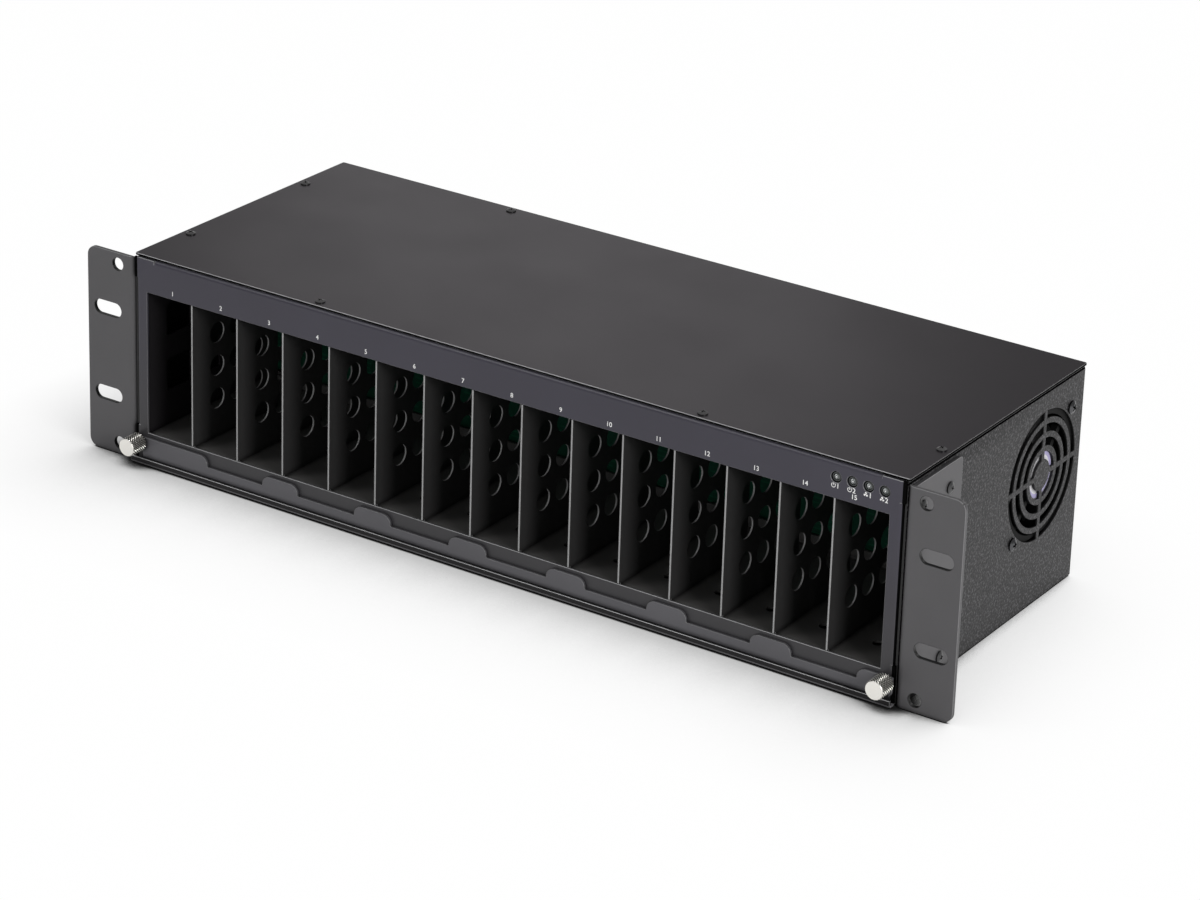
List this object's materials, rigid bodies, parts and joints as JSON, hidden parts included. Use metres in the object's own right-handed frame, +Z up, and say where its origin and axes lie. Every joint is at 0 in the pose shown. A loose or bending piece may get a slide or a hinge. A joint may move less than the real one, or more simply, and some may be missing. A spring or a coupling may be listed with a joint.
{
  "type": "media converter chassis",
  "caption": "Rack-mount sheet-metal chassis with a row of open bays for media converters, rack ears, a lifting retaining bar on thumbscrews and fans in the side walls.",
  "frame": {"origin": "on the underside of the base, on the centre line, below the back face of the rack ears' front flange", "axes": "+X to the right seen from the front, +Y from the front to the back, +Z up"},
  "size_m": [0.4826, 0.1786, 0.1083],
  "materials": {
    "case_paint": "satin charcoal paint",
    "panel_paint": "satin charcoal paint",
    "ear_paint": "satin charcoal paint",
    "wall_paint": "fine textured powder coat",
    "divider_paint": "satin grey paint",
    "black_screw": "black plated",
    "zinc_screw": "zinc plated",
    "nickel": "nickel plated, knurled",
    "plain_steel": "zinc plated",
    "board_laminate": "green solder mask",
    "black_plastic": "matte black",
    "white_plastic": "matte off-white",
    "lamp_lens": "clear lens, not lit",
    "contact_brass": "tarnished",
    "red_lead": "matte"
  },
  "bodies": {
    "chassis": {"ac_inlet_left": "black_plastic", "ac_inlet_right": "black_plastic", "backplane_board": "board_laminate", "backplane_screws": "zinc_screw", "backplane_spacers": "plain_steel", "base_tray": "case_paint", "bay_ceiling": "case_paint", "bay_floor": "case_paint", "bay_power_plugs": "black_plastic", "cage_side_left": "case_paint", "cage_side_right": "case_paint", "cover_screws": "black_screw", "divider_01": "divider_paint", "divider_02": "divider_paint", "divider_03": "divider_paint", "divider_04": "divider_paint", "divider_05": "divider_paint", "divider_06": "divider_paint", "divider_07": "divider_paint", "divider_08": "divider_paint", "divider_09": "divider_paint", "divider_10": "divider_paint", "divider_11": "divider_paint", "divider_12": "divider_paint", "divider_13": "divider_paint", "divider_14": "divider_paint", "ear_screws": "black_screw", "fan_frame_left": "black_plastic", "fan_frame_right": "black_plastic", "fan_headers": "white_plastic", "fan_lead_left": "red_lead", "fan_lead_right": "red_lead", "fan_screws": "black_screw", "front_panel": "panel_paint", "inlet_contacts": "contact_brass", "inlet_screws": "black_screw", "lamp_board": "board_laminate", "lamp_board_studs": "plain_steel", "power_supply_left": "plain_steel", "power_supply_right": "plain_steel", "rack_ear_left": "ear_paint", "rack_ear_right": "ear_paint", "rear_panel": "case_paint", "side_wall_left": "wall_paint", "side_wall_right": "wall_paint", "status_lamps": "lamp_lens", "thumbscrew_nuts": "plain_steel", "top_cover": "case_paint"},
    "retaining_bar": {"retaining_bar": "panel_paint"},
    "thumbscrew_left": {"thumbscrew_left": "nickel"},
    "thumbscrew_right": {"thumbscrew_right": "nickel"},
    "fan_rotor_left": {"fan_rotor_left": "black_plastic"},
    "fan_rotor_right": {"fan_rotor_right": "black_plastic"}
  },
  "joints": [
    {"name": "bar_lift", "type": "slide", "parent": "chassis", "child": "retaining_bar", "axis": [0, 0, 1], "range_m": [0, 0.0064]},
    {"name": "thumbscrew_left_turn", "type": "hinge", "parent": "chassis", "child": "thumbscrew_left", "pos_m": [-0.20863, -0.008, 0.0112], "axis": [0, 1, 0], "continuous": true},
    {"name": "thumbscrew_right_turn", "type": "hinge", "parent": "chassis", "child": "thumbscrew_right", "pos_m": [0.20863, -0.008, 0.0112], "axis": [0, 1, 0], "continuous": true},
    {"name": "fan_left_spin", "type": "hinge", "parent": "chassis", "child": "fan_rotor_left", "pos_m": [-0.2, 0.1246, 0.0638], "axis": [1, 0, 0], "continuous": true},
    {"name": "fan_right_spin", "type": "hinge", "parent": "chassis", "child": "fan_rotor_right", "pos_m": [0.2, 0.1246, 0.0638], "axis": [1, 0, 0], "continuous": true}
  ]
}
